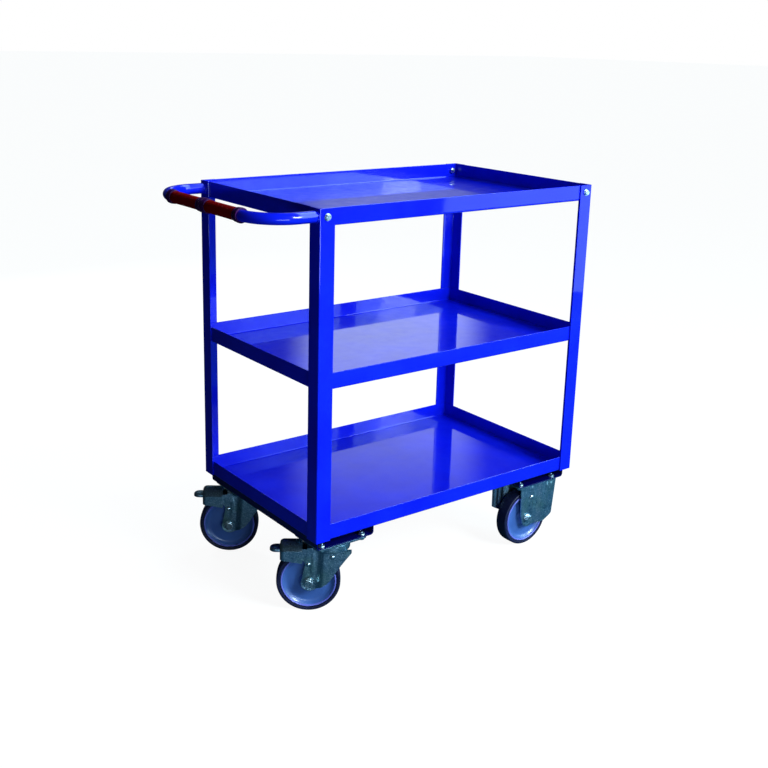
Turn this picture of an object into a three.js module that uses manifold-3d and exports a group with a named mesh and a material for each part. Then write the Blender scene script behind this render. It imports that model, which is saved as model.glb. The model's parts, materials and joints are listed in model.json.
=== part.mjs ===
// A three-tray steel shelf trolley: four angle posts, three folded trays, a tubular push handle with two
// grips, two braked swivel casters at the handle end and two fixed casters at the front end.
// Units are millimetres. +X points to the front, away from the handle, +Y to the left and +Z up.
import * as THREE from 'three';
import { mergeVertices } from 'three/addons/utils/BufferGeometryUtils.js';
import Module from 'manifold-3d';

const wasm = await Module();
wasm.setup();

// ---------------------------------------------------------------- driving dimensions
const FRAME_LENGTH = 806;        // over the posts, along X
const FRAME_WIDTH = 506;         // over the posts, along Y
const RIM_TOP = 957;             // top of the posts and of the top tray
const FRAME_BOTTOM = 212;        // bottom of the posts and of the bottom tray
const MIDDLE_TRAY_BOTTOM = 564;
const GAP = 0.3;                 // clearance between touching pieces

const POST_FLANGE = 38;
const POST_STEEL = 3;
const POST_OUTER_RADIUS = 3;
const POST_INNER_RADIUS = 1.2;

const TRAY_DEPTH = 38;
const TRAY_STEEL = 2;
const TRAY_CORNER_RADIUS = 6;
const TRAY_BEND_RADIUS = 5;      // outside of the bend between the floor and a wall

const BOLT_FROM_END = 19;        // corner bolt, from the end of the frame
const BOLT_BELOW_RIM = 18;
const BOLT_RADIUS = 4;
const BOLT_HOLE_RADIUS = 4.4;
const BOLT_HEAD_HEIGHT = 5.2;
const BOLT_HEAD_RADIUS = 7.5;    // across the corners of the hexagon
const NUT_HEIGHT = 6.5;

const HANDLE_REACH = 125;        // from the frame's end to the axis of the cross bar
const HANDLE_BEND = 85;          // on the tube's axis
const HANDLE_INSET = 15;         // tube axis in from the side of the frame
const HANDLE_BELOW_RIM = 18;
const HANDLE_RADIUS = 12.5;
const HANDLE_WALL = 2;

const GRIP_END = 155;            // outer end of a grip, from the middle of the cross bar
const GRIP_START = 1.5;
const GRIP_RADIUS = 14.4;
const GRIP_FLANGE_RADIUS = 16.4;
const GRIP_FLANGE_WIDTH = 18;

const CHANNEL_BOTTOM = 187;
const CHANNEL_WIDTH = 158;
const CHANNEL_FROM_END = 12;
const CHANNEL_FROM_SIDE = 14;
const CHANNEL_STEEL = 2.5;
const CHANNEL_BEND_RADIUS = 8;

const WHEEL_RADIUS = 75;
const TYRE_HALF_WIDTH = 17;
const TYRE_SEGMENTS = 36;
const RIM_SEGMENTS = 28;
const RIM_RADIUS = 66;
const RIM_HALF_WIDTH = 15.5;
const HUB_HALF_LENGTH = 20.4;
const AXLE_RADIUS = 6;
const AXLE_HEX_RADIUS = 10.5;    // bolt head and nut, across the corners
const AXLE_HEAD_HEIGHT = 7.5;
const AXLE_NUT_HEIGHT = 10;
const SLEEVE_RADIUS = 9;

const PLATE_TOP = CHANNEL_BOTTOM - GAP;
const PLATE_STEEL = 4;
const PLATE_LENGTH = 135;
const PLATE_WIDTH = 110;
const LEG_INNER = 21;            // inside face of a fork leg, from the middle of the wheel
const LEG_STEEL = 3;

const SWIVEL_FROM_END = 87;      // swivel axis, from the handle end of the frame
const SWIVEL_FROM_SIDE = 68.8;
const TRAIL = 50;                // from the swivel axis back to the axle
const SWIVEL_TURN = -0.61;       // rest heading of both swivel casters, in radians

const FIXED_FROM_END = 98;       // front axle, from the front end of the frame
const FIXED_FROM_SIDE = 71;

const PEDAL_PIVOT = [0, 46.5];   // from the axle: along the caster, and up
const PEDAL_PIN_RADIUS = 3;

// The bounding box is centred on the origin along X.
const ORIGIN_SHIFT = (HANDLE_REACH + GRIP_FLANGE_RADIUS) / 2;

// ---------------------------------------------------------------- finishes
const FINISHES = {
  blue_paint: [0x1226e0, 0.3, 0.15],
  grip_plastic: [0x3a0a12, 0.45, 0],
  zinc: [0x8fa3ad, 0.35, 0.9],
  tyre_rubber: [0x0a1024, 0.6, 0],
  rim_plastic: [0x4f74b8, 0.45, 0],
  brake_rubber: [0x101114, 0.8, 0],
};

function finish(kind) {
  const [color, roughness, metalness] = FINISHES[kind];
  return new THREE.MeshStandardMaterial({ color, roughness, metalness });
}

// ---------------------------------------------------------------- geometry helpers
function toSolid(geometry) {
  const bare = geometry.clone();
  bare.deleteAttribute('normal');
  bare.deleteAttribute('uv');
  const merged = mergeVertices(bare, 1e-4);
  const index = merged.index.array;
  const triangles = [];
  for (let i = 0; i < index.length; i += 3) {
    const [a, b, c] = [index[i], index[i + 1], index[i + 2]];
    if (a !== b && b !== c && c !== a) triangles.push(a, b, c);
  }
  return new wasm.Manifold(new wasm.Mesh({
    numProp: 3,
    vertProperties: new Float32Array(merged.attributes.position.array),
    triVerts: new Uint32Array(triangles),
  }));
}

function toGeometry(solid) {
  const { vertProperties, triVerts } = solid.getMesh();
  const geometry = new THREE.BufferGeometry();
  geometry.setAttribute('position', new THREE.BufferAttribute(vertProperties, 3));
  geometry.setIndex(new THREE.BufferAttribute(triVerts, 1));
  geometry.computeVertexNormals();
  return geometry;
}

function join(...geometries) {
  return geometries.map(toSolid).reduce((whole, part) => whole.add(part));
}

function cut(solid, ...geometries) {
  return geometries.map(toSolid).reduce((whole, part) => whole.subtract(part), solid);
}

function piece(name, shape, kind) {
  const geometry = shape.isBufferGeometry ? shape : toGeometry(shape);
  const mesh = new THREE.Mesh(geometry, finish(kind));
  mesh.name = name;
  return mesh;
}

function asShape(outline) {
  if (outline instanceof THREE.Shape) return outline;
  return new THREE.Shape(outline.map(([a, b]) => new THREE.Vector2(a, b)));
}

// Outline drawn in X and Z, given thickness along Y from y0 to y1.
function sidePlate(outline, y0, y1) {
  const options = { depth: y1 - y0, bevelEnabled: false, curveSegments: 6 };
  const geometry = new THREE.ExtrudeGeometry(asShape(outline), options);
  geometry.rotateX(Math.PI / 2);
  geometry.translate(0, y1, 0);
  return geometry;
}

// Outline drawn in X and Y, given height along Z from z0 to z1.
function flatPlate(outline, z0, z1) {
  const options = { depth: z1 - z0, bevelEnabled: false, curveSegments: 4 };
  const geometry = new THREE.ExtrudeGeometry(asShape(outline), options);
  geometry.translate(0, 0, z0);
  return geometry;
}

function box(x0, x1, y0, y1, z0, z1) {
  const geometry = new THREE.BoxGeometry(x1 - x0, y1 - y0, z1 - z0);
  geometry.translate((x0 + x1) / 2, (y0 + y1) / 2, (z0 + z1) / 2);
  return geometry;
}

// Turned about Y: the profile is a list of [radius, y].
function turned(profile, segments, phase = 0) {
  return new THREE.LatheGeometry(profile.map(([r, y]) => new THREE.Vector2(r, y)), segments, phase);
}

// Turned about Z: the profile is a list of [radius, z].
function turnedUpright(profile, segments) {
  return turned(profile, segments).rotateX(Math.PI / 2);
}

const closed = (profile) => [...profile, profile[0]];

function rodAlongY(x, z, radius, y0, y1, segments = 16) {
  return new THREE.CylinderGeometry(radius, radius, y1 - y0, segments).translate(x, (y0 + y1) / 2, z);
}

function roundedRectangle(length, width, radius) {
  const [x, y, r] = [length / 2, width / 2, radius];
  const shape = new THREE.Shape();
  shape.moveTo(-x + r, -y);
  shape.lineTo(x - r, -y);
  shape.absarc(x - r, -y + r, r, -Math.PI / 2, 0);
  shape.lineTo(x, y - r);
  shape.absarc(x - r, y - r, r, 0, Math.PI / 2);
  shape.lineTo(-x + r, y);
  shape.absarc(-x + r, y - r, r, Math.PI / 2, Math.PI);
  shape.lineTo(-x, -y + r);
  shape.absarc(-x + r, -y + r, r, Math.PI, 1.5 * Math.PI);
  return shape;
}

// ---------------------------------------------------------------- posts
// Folded angle. Its outer corner is at the origin and its flanges run towards -X and -Y.
function angleSection() {
  const [f, t, ro, ri] = [POST_FLANGE, POST_STEEL, POST_OUTER_RADIUS, POST_INNER_RADIUS];
  const shape = new THREE.Shape();
  shape.moveTo(-f, 0);
  shape.lineTo(-f, -t);
  shape.lineTo(-t - ri, -t);
  shape.absarc(-t - ri, -t - ri, ri, Math.PI / 2, 0, true);
  shape.lineTo(-t, -f);
  shape.lineTo(0, -f);
  shape.lineTo(0, -ro);
  shape.absarc(-ro, -ro, ro, 0, Math.PI / 2);
  return shape.getPoints(3);
}

function post(name, signX, signY) {
  const corner = [signX * FRAME_LENGTH / 2, signY * FRAME_WIDTH / 2];
  const outline = angleSection().map((p) => [corner[0] + signX * p.x, corner[1] + signY * p.y]);
  const bar = toSolid(flatPlate(outline, FRAME_BOTTOM, RIM_TOP));
  return piece(name, cut(bar, boltHole(signX, signY)), 'blue_paint');
}

function boltHole(signX, signY) {
  const [x, y] = [signX * (FRAME_LENGTH / 2 - BOLT_FROM_END), signY * FRAME_WIDTH / 2];
  return rodAlongY(x, RIM_TOP - BOLT_BELOW_RIM, BOLT_HOLE_RADIUS, y - 8, y + 8);
}

// ---------------------------------------------------------------- trays
function roundedPan(length, width, cornerRadius, bendRadius, bottom) {
  const geometry = new THREE.ExtrudeGeometry(roundedRectangle(length, width, cornerRadius), {
    depth: TRAY_DEPTH,
    bevelThickness: bendRadius,
    bevelSize: bendRadius,
    bevelOffset: -bendRadius,
    bevelSegments: 3,
    curveSegments: 3,
  });
  return geometry.translate(0, 0, bottom + bendRadius);
}

function tray(name, bottom, bolted) {
  const clear = 2 * (POST_STEEL + GAP);
  const [length, width, top] = [FRAME_LENGTH - clear, FRAME_WIDTH - clear, bottom + TRAY_DEPTH];
  const inside = 2 * TRAY_STEEL;
  const outer = toSolid(roundedPan(length, width, TRAY_CORNER_RADIUS, TRAY_BEND_RADIUS, bottom));
  const hollow = roundedPan(length - inside, width - inside, TRAY_CORNER_RADIUS - TRAY_STEEL,
    TRAY_BEND_RADIUS - TRAY_STEEL, bottom + TRAY_STEEL);
  const above = box(-length, length, -width, width, top, top + TRAY_DEPTH);
  const holes = bolted ? CORNERS.map(([, x, y]) => boltHole(x, y)) : [];
  return piece(name, cut(outer, hollow, above, ...holes), 'blue_paint');
}

// ---------------------------------------------------------------- corner bolts and nuts
function cornerBolt(name, signX, signY) {
  const tip = POST_STEEL + GAP + TRAY_STEEL + NUT_HEIGHT + 2.5;
  const shank = rodAlongY(0, 0, BOLT_RADIUS, -tip, GAP + 1, 12);
  const solid = join(shank, rodAlongY(0, 0, BOLT_HEAD_RADIUS, GAP, GAP + BOLT_HEAD_HEIGHT, 6));
  return placedAtCorner(piece(name, solid, 'zinc'), signX, signY);
}

function cornerNut(name, signX, signY) {
  const inside = -(POST_STEEL + 2 * GAP + TRAY_STEEL);
  const blank = toSolid(rodAlongY(0, 0, BOLT_HEAD_RADIUS, inside - NUT_HEIGHT, inside, 6));
  const bore = rodAlongY(0, 0, BOLT_RADIUS + GAP, inside - NUT_HEIGHT - 1, inside + 1, 12);
  return placedAtCorner(piece(name, cut(blank, bore), 'zinc'), signX, signY);
}

function placedAtCorner(mesh, signX, signY) {
  const x = signX * (FRAME_LENGTH / 2 - BOLT_FROM_END);
  mesh.position.set(x, signY * FRAME_WIDTH / 2, RIM_TOP - BOLT_BELOW_RIM);
  if (signY < 0) mesh.rotation.z = Math.PI;
  return mesh;
}

// ---------------------------------------------------------------- push handle
function handleTube() {
  const [end, y, r] = [-FRAME_LENGTH / 2 - GAP, FRAME_WIDTH / 2 - HANDLE_INSET, HANDLE_BEND];
  const bar = -FRAME_LENGTH / 2 - HANDLE_REACH;
  const flat = new THREE.Path();
  flat.moveTo(end, y);
  flat.lineTo(bar + r, y);
  flat.absarc(bar + r, y - r, r, Math.PI / 2, Math.PI);
  flat.lineTo(bar, r - y);
  flat.absarc(bar + r, r - y, r, Math.PI, 1.5 * Math.PI);
  flat.lineTo(end, -y);
  const steps = 38;
  const route = new THREE.CatmullRomCurve3(
    flat.getSpacedPoints(steps).map((p) => new THREE.Vector3(p.x, p.y, 0)), false, 'centripetal');
  const section = new THREE.Shape();
  section.absarc(0, 0, HANDLE_RADIUS, 0, 2 * Math.PI);
  const bore = new THREE.Path();
  bore.absarc(0, 0, HANDLE_RADIUS - HANDLE_WALL, 0, 2 * Math.PI);
  section.holes.push(bore);
  const tube = new THREE.ExtrudeGeometry(section, { steps, extrudePath: route, curveSegments: 5 });
  return piece('handle_tube', tube.translate(0, 0, RIM_TOP - HANDLE_BELOW_RIM), 'blue_paint');
}

function grip(name, sign) {
  const [bore, r, f, w] = [HANDLE_RADIUS + GAP, GRIP_RADIUS, GRIP_FLANGE_RADIUS, GRIP_FLANGE_WIDTH];
  const [a, b] = [GRIP_START, GRIP_END];
  const profile = [[bore, a], [f - 1.5, a], [f, a + 2], [f, a + w - 5], [r, a + w], [r, b - w],
    [f, b - w + 5], [f, b - 2], [f - 1.5, b], [bore, b]];
  const mesh = piece(name, turned(closed(profile), 24), 'grip_plastic');
  mesh.position.set(-FRAME_LENGTH / 2 - HANDLE_REACH, 0, RIM_TOP - HANDLE_BELOW_RIM);
  if (sign < 0) mesh.rotation.z = Math.PI;
  return mesh;
}

// ---------------------------------------------------------------- caster channels
function casterChannel(name, sign) {
  const [half, t, r] = [CHANNEL_WIDTH / 2, CHANNEL_STEEL, CHANNEL_BEND_RADIUS];
  const [z0, z1] = [CHANNEL_BOTTOM, FRAME_BOTTOM - GAP];
  const section = new THREE.Shape();
  section.moveTo(-half, z1);
  section.lineTo(-half, z0 + r);
  section.absarc(-half + r, z0 + r, r, Math.PI, 1.5 * Math.PI);
  section.lineTo(half - r, z0);
  section.absarc(half - r, z0 + r, r, 1.5 * Math.PI, 2 * Math.PI);
  section.lineTo(half, z1);
  section.lineTo(half - t, z1);
  section.lineTo(half - t, z0 + r);
  section.absarc(half - r, z0 + r, r - t, 0, -Math.PI / 2, true);
  section.lineTo(-half + r, z0 + t);
  section.absarc(-half + r, z0 + r, r - t, 1.5 * Math.PI, Math.PI, true);
  section.lineTo(-half + t, z1);
  const reach = FRAME_WIDTH / 2 - CHANNEL_FROM_SIDE;
  const mesh = piece(name, sidePlate(section, -reach, reach), 'blue_paint');
  mesh.position.x = sign * (FRAME_LENGTH / 2 - CHANNEL_FROM_END - half);
  return mesh;
}

// ---------------------------------------------------------------- wheel on its axle
// Casters are drawn with the axle along Y and the middle of the wheel at the origin.
function tyre(name) {
  const tread = WHEEL_RADIUS / Math.cos(Math.PI / TYRE_SEGMENTS);
  const profile = [[RIM_RADIUS, -16], [71, -TYRE_HALF_WIDTH], [tread - 1.4, -14.5], [tread, -9],
    [tread, 9], [tread - 1.4, 14.5], [71, TYRE_HALF_WIDTH], [RIM_RADIUS, 16]];
  return piece(name, turned(closed(profile), TYRE_SEGMENTS, Math.PI / TYRE_SEGMENTS), 'tyre_rubber');
}

function rim(name) {
  const [bore, hub, edge] = [SLEEVE_RADIUS + GAP, HUB_HALF_LENGTH, RIM_RADIUS - 0.6];
  const side = [[bore, -hub], [18, -hub], [22, -7], [54, -5], [61, -RIM_HALF_WIDTH], [edge, -RIM_HALF_WIDTH]];
  const other = side.map(([r, y]) => [r, -y]).reverse();
  return piece(name, turned(closed([...side, ...other]), RIM_SEGMENTS), 'rim_plastic');
}

function axleSet(prefix) {
  const [inner, outer, seat] = [AXLE_RADIUS + GAP, SLEEVE_RADIUS, LEG_INNER - GAP];
  const sleeve = turned(closed([[inner, -seat], [outer, -seat], [outer, seat], [inner, seat]]), 20);
  const face = LEG_INNER + LEG_STEEL + GAP;
  const head = rodAlongY(0, 0, AXLE_HEX_RADIUS, -face - AXLE_HEAD_HEIGHT, -face, 6);
  const bolt = join(head, rodAlongY(0, 0, AXLE_RADIUS, -face - 1, face + AXLE_NUT_HEIGHT + 3));
  const blank = toSolid(rodAlongY(0, 0, AXLE_HEX_RADIUS, face, face + AXLE_NUT_HEIGHT, 6));
  const nut = cut(blank, rodAlongY(0, 0, AXLE_RADIUS + GAP, face - 1, face + AXLE_NUT_HEIGHT + 1));
  return [
    piece(`${prefix}_axle_sleeve`, sleeve, 'zinc'),
    piece(`${prefix}_axle_bolt`, bolt, 'zinc'),
    piece(`${prefix}_axle_nut`, nut, 'zinc'),
  ];
}

// ---------------------------------------------------------------- swivel caster
const AXLE_TO_PLATE = PLATE_TOP - WHEEL_RADIUS;
const HEAD_FLOOR = 84;           // underside of the fork head, above the axle
const HEAD_RADIUS = 46;
const PIN_HOLE_RADIUS = 8.2;

function pinHole(z) {
  const hole = new THREE.CylinderGeometry(PIN_HOLE_RADIUS, PIN_HOLE_RADIUS, 20, 20);
  return hole.rotateX(Math.PI / 2).translate(0, 0, z);
}

function mountingPlate(name) {
  const [z0, z1] = [AXLE_TO_PLATE - PLATE_STEEL, AXLE_TO_PLATE];
  const blank = toSolid(flatPlate(roundedRectangle(PLATE_LENGTH, PLATE_WIDTH, 12), z0, z1));
  return piece(name, cut(blank, pinHole(z0)), 'zinc');
}

function kingPin(name) {
  const [head, shank] = [HEAD_FLOOR - GAP, PIN_HOLE_RADIUS - GAP];
  const profile = [[0, head - 8], [11, head - 8], [13, head - 6], [13, head], [shank, head],
    [shank, AXLE_TO_PLATE - GAP], [0, AXLE_TO_PLATE - GAP]];
  return piece(name, turnedUpright(profile, 20), 'zinc');
}

function ballRing(name) {
  const ring = new THREE.Path();
  ring.absarc(34, HEAD_FLOOR + 4 + 4.6, 4, 0, 2 * Math.PI);
  const profile = ring.getPoints(4).map((p) => [p.x, p.y]);
  return piece(name, turnedUpright(closed(profile.slice(0, -1)), 16), 'zinc');
}

function upperRace(name) {
  const [z0, z1] = [HEAD_FLOOR + 13, AXLE_TO_PLATE - PLATE_STEEL - GAP];
  const profile = [[24, z0], [40.5, z0], [42.4, z0 + 2], [42.4, z1], [24, z1]];
  return piece(name, turnedUpright(closed(profile), 28), 'zinc');
}

// One leg: a strip that steps outward in plan under the swivel head, trimmed to the leg's side view.
function forkLeg(side) {
  const [a, t] = [LEG_INNER, LEG_STEEL];
  const plan = [[-30, a], [18, a], [36, a + 7], [101, a + 7], [101, a + 7 + t], [35, a + 7 + t],
    [17, a + t], [-30, a + t]];
  const strip = toSolid(flatPlate(plan.map(([x, y]) => [x, side * y]), -30, HEAD_FLOOR + 4));
  const outline = new THREE.Shape();
  outline.moveTo(-4, HEAD_FLOOR + 4);
  outline.lineTo(-8, 42);
  outline.lineTo(-16, 2);
  outline.absarc(3, 0, 20, Math.PI * 0.97, Math.PI * 1.72);
  outline.lineTo(45, 2);
  outline.lineTo(67, 36);
  outline.lineTo(99, 80);
  outline.lineTo(99, HEAD_FLOOR + 4);
  return strip.intersect(toSolid(sidePlate(outline, -60, 60)));
}

function fork(name) {
  const [z, r] = [HEAD_FLOOR, HEAD_RADIUS];
  const cup = closed([[PIN_HOLE_RADIUS, z], [r - 2, z], [r, z + 2], [r, z + 17], [r - 3, z + 17],
    [r - 3, z + 4], [PIN_HOLE_RADIUS, z + 4]]);
  const head = turnedUpright(cup, 28).translate(TRAIL, 0, 0);
  const crown = flatPlate([[-4, -24], [-4, 24], [20, 24], [34, 31], [34, -31], [20, -24]], z, z + 4);
  const [px, pz] = PEDAL_PIVOT;
  const solid = toSolid(head).add(toSolid(crown)).add(forkLeg(1)).add(forkLeg(-1));
  const pivotHole = rodAlongY(px, pz, PEDAL_PIN_RADIUS + GAP, -40, 40, 12);
  const axleHole = rodAlongY(0, 0, AXLE_RADIUS + GAP, -40, 40);
  return piece(name, cut(solid, axleHole, pivotHole, pinHole(z).translate(TRAIL, 0, 0)), 'zinc');
}

function pedalRivet(name, side) {
  const face = LEG_INNER + LEG_STEEL + GAP;
  const [px, pz] = PEDAL_PIVOT;
  const profile = [[0, LEG_INNER - 3.5], [PEDAL_PIN_RADIUS, LEG_INNER - 3.5], [PEDAL_PIN_RADIUS, face],
    [5.5, face], [5, face + 2], [0, face + 3]];
  const mesh = piece(name, turned(profile, 12), 'zinc');
  mesh.position.set(px, 0, pz);
  if (side < 0) mesh.rotation.z = Math.PI;
  return mesh;
}

// ---------------------------------------------------------------- brake pedal
const HOOD_BACK = -66;
const HOOD_FRONT = -14;
const HOOD_HALF_WIDTH = 26;
const HOOD_STEEL = 2;
const HOOD_SHOULDER = 79;        // where the straight sides meet the crowned top
const HOOD_CROWN = 20;
const HOOD_SKIRT = 49;
const HOOD_END_SKIRT = 58;       // higher at the back, over the tread
const TOE_HALF_WIDTH = 15;
const TOE_LENGTH = 26;
const TOE_HEIGHT = 75;
const TOE_THICKNESS = 7;         // over its rolled edge
const ARM_STEEL = 1.9;
const ARM_CLEARANCE = 0.4;       // between a pedal arm and the fork leg beside it
const SHOE_HALF_WIDTH = 11;
const SHOE_TOP = 94.3;

// Cross-section across the caster, with straight sides and an elliptical top, drawn in Y and Z.
function hoodSection(halfWidth, crown, skirt) {
  const shape = new THREE.Shape();
  shape.moveTo(-halfWidth, skirt);
  shape.lineTo(halfWidth, skirt);
  shape.lineTo(halfWidth, HOOD_SHOULDER);
  shape.absellipse(0, HOOD_SHOULDER, halfWidth, crown, 0, Math.PI);
  return shape;
}

function hoodBlock(halfWidth, crown, skirt, x0, x1) {
  const options = { depth: x1 - x0, bevelEnabled: false, curveSegments: 10 };
  const geometry = new THREE.ExtrudeGeometry(hoodSection(halfWidth, crown, skirt), options);
  return geometry.rotateX(Math.PI / 2).rotateZ(Math.PI / 2).translate(x0, 0, 0);
}

function pedalArm(side) {
  const y1 = LEG_INNER - ARM_CLEARANCE;
  const y0 = y1 - ARM_STEEL;
  const outline = [[-15, 57], [-15, 83], [-4, 83], [7, 55], [9, 46], [6, 38.5], [-3, 37.5], [-8, 42]];
  const arm = side > 0 ? sidePlate(outline, y0, y1) : sidePlate(outline, -y1, -y0);
  const web = [HOOD_FRONT - HOOD_STEEL, HOOD_FRONT];
  const outer = HOOD_HALF_WIDTH - 1;
  const step = side > 0 ? box(...web, y0, outer, 57, 82) : box(...web, -outer, -y0, 57, 82);
  return toSolid(arm).add(toSolid(step));
}

// Level tongue with a round end.
function pedalToe() {
  const [w, end] = [TOE_HALF_WIDTH, HOOD_BACK + 2 - TOE_LENGTH + TOE_HALF_WIDTH];
  const shape = new THREE.Shape();
  shape.moveTo(HOOD_BACK + 1, -w);
  shape.lineTo(HOOD_BACK + 1, w);
  shape.lineTo(end, w);
  shape.absarc(end, 0, w, Math.PI / 2, 1.5 * Math.PI);
  const options = { depth: TOE_THICKNESS, bevelEnabled: false, curveSegments: 8 };
  return new THREE.ExtrudeGeometry(shape, options).translate(0, 0, TOE_HEIGHT);
}

function brakePedal(name) {
  const w = HOOD_HALF_WIDTH;
  const t = HOOD_STEEL;
  const below = HOOD_SKIRT - 10;
  const hood = cut(toSolid(hoodBlock(w, HOOD_CROWN, HOOD_SKIRT, HOOD_BACK, HOOD_FRONT)),
    hoodBlock(w - t, HOOD_CROWN - t, below, HOOD_BACK + t, HOOD_FRONT + 5),
    box(HOOD_BACK - 1, HOOD_BACK + t + 1, -w + t, w - t, below, HOOD_END_SKIRT));
  const solid = hood.add(pedalArm(1)).add(pedalArm(-1)).add(toSolid(pedalToe()));
  const [px, pz] = PEDAL_PIVOT;
  return piece(name, cut(solid, rodAlongY(px, pz, PEDAL_PIN_RADIUS + GAP, -40, 40, 12)), 'zinc');
}

function brakeShoe(name) {
  const outline = [[-33, SHOE_TOP], [-33, 72.1], [-38, 69.8], [-44, 66.5], [-50, 62.6], [-54, 59.6],
    [-54, SHOE_TOP]];
  return piece(name, sidePlate(outline, -SHOE_HALF_WIDTH, SHOE_HALF_WIDTH), 'brake_rubber');
}

function swivelCaster(prefix, sideSign) {
  const fixed = new THREE.Group();
  const named = (suffix) => `${prefix}_${suffix}`;
  fixed.add(mountingPlate(named('caster_plate')), upperRace(named('upper_race')), kingPin(named('king_pin')));
  const turning = new THREE.Group();
  const parts = [fork(named('fork')), rim(named('rim')), tyre(named('tyre')), ...axleSet(prefix),
    pedalRivet(named('pedal_rivet_a'), -1), pedalRivet(named('pedal_rivet_b'), 1),
    brakePedal(named('brake_pedal')), brakeShoe(named('brake_shoe'))];
  parts.forEach((part) => { part.position.x -= TRAIL; });
  turning.add(...parts, ballRing(named('ball_ring')));
  turning.rotation.z = SWIVEL_TURN;
  const caster = new THREE.Group();
  caster.add(fixed, turning);
  const x = -FRAME_LENGTH / 2 + SWIVEL_FROM_END;
  caster.position.set(x, sideSign * (FRAME_WIDTH / 2 - SWIVEL_FROM_SIDE), WHEEL_RADIUS);
  return caster;
}

// ---------------------------------------------------------------- fixed caster
// Each cheek covers one end of the wheel and steps outward there. cornerHeight is where its lower outer
// corner starts, measured from the axle.
function cheek(cornerHeight, reachTop, reachLow) {
  const [a, t, top] = [LEG_INNER, LEG_STEEL, AXLE_TO_PLATE - PLATE_STEEL + 0.5];
  const plan = [[-40, a], [28, a], [44, a + 8], [120, a + 8], [120, a + 8 + t], [43, a + 8 + t],
    [27, a + t], [-40, a + t]];
  const strip = toSolid(flatPlate(plan.map(([x, y]) => [x, -y]), -40, top));
  const outline = new THREE.Shape();
  outline.moveTo(-30, top);
  outline.lineTo(-26, 30);
  outline.lineTo(-19, -4);
  outline.absarc(1, -2, 21, Math.PI * 0.97, Math.PI * 1.7);
  outline.lineTo(reachLow - 24, cornerHeight - 14);
  outline.lineTo(reachLow, cornerHeight);
  outline.lineTo(reachTop, top);
  return strip.intersect(toSolid(sidePlate(outline, -60, 60)));
}

function fixedBracket(name) {
  const [z0, z1] = [AXLE_TO_PLATE - PLATE_STEEL, AXLE_TO_PLATE];
  const plate = toSolid(flatPlate(roundedRectangle(PLATE_LENGTH, PLATE_WIDTH, 12), z0, z1));
  const farCheek = toSolid(toGeometry(cheek(33, 80, 78)).rotateZ(Math.PI));
  const seatOutline = [[-60, -20], [-60, 34], [66, 34], [66, -34], [-32, -34]];
  const seat = toSolid(flatPlate(seatOutline, z0 - 3.5, z0 + 0.5));
  const solid = plate.add(seat).add(cheek(0, 92, 80)).add(farCheek);
  return piece(name, cut(solid, rodAlongY(0, 0, AXLE_RADIUS + GAP, -40, 40)), 'zinc');
}

function fixedCaster(prefix, sideSign) {
  const caster = new THREE.Group();
  caster.add(fixedBracket(`${prefix}_caster_bracket`), rim(`${prefix}_rim`), tyre(`${prefix}_tyre`),
    ...axleSet(prefix));
  const x = FRAME_LENGTH / 2 - FIXED_FROM_END;
  caster.position.set(x, sideSign * (FRAME_WIDTH / 2 - FIXED_FROM_SIDE), WHEEL_RADIUS);
  return caster;
}

// ---------------------------------------------------------------- assembly
const CORNERS = [
  ['rear_right', -1, -1],
  ['rear_left', -1, 1],
  ['front_right', 1, -1],
  ['front_left', 1, 1],
];

const trolley = new THREE.Group();
for (const [corner, signX, signY] of CORNERS) {
  trolley.add(post(`post_${corner}`, signX, signY));
  trolley.add(cornerBolt(`corner_bolt_${corner}`, signX, signY));
  trolley.add(cornerNut(`corner_nut_${corner}`, signX, signY));
}
trolley.add(tray('top_tray', RIM_TOP - TRAY_DEPTH, true));
trolley.add(tray('middle_tray', MIDDLE_TRAY_BOTTOM, false));
trolley.add(tray('bottom_tray', FRAME_BOTTOM, false));
trolley.add(handleTube(), grip('grip_right', -1), grip('grip_left', 1));
trolley.add(casterChannel('caster_channel_rear', -1), casterChannel('caster_channel_front', 1));
trolley.add(swivelCaster('rear_right', -1));
trolley.add(swivelCaster('rear_left', 1));
trolley.add(fixedCaster('front_right', -1));
trolley.add(fixedCaster('front_left', 1));
trolley.position.x = ORIGIN_SHIFT;

export default trolley;
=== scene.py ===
"""Looks of the steel shelf trolley: finer meshes, materials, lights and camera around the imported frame.

Shapes are drawn in millimetres and turned into metres when a piece is made.
"""
import json
import math

import bmesh
import bpy
from mathutils import Matrix, Vector, noise


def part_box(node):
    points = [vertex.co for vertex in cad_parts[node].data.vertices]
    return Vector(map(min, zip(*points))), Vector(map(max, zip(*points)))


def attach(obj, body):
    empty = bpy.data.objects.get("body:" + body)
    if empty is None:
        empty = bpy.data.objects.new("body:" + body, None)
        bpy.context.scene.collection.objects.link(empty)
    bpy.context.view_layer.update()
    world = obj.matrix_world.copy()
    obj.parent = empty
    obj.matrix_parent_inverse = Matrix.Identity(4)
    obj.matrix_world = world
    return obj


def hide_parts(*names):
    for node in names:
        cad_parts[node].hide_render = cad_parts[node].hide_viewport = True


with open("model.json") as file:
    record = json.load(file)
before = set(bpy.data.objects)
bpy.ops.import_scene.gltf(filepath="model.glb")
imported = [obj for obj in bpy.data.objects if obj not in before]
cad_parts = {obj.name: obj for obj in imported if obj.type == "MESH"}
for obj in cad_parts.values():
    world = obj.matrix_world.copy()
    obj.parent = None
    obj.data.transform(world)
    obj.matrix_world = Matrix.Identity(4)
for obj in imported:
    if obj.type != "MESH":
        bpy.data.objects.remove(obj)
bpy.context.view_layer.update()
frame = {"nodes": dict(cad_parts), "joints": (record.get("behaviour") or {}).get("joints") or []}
scene = bpy.context.scene

MM = 0.001
CART = "cart_frame"
CORNERS = {
    "rear_right": (-1, -1),
    "rear_left": (-1, 1),
    "front_right": (1, -1),
    "front_left": (1, 1),
}
SWIVEL_CASTERS = ("rear_right", "rear_left")
FIXED_CASTERS = ("front_right", "front_left")


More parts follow.
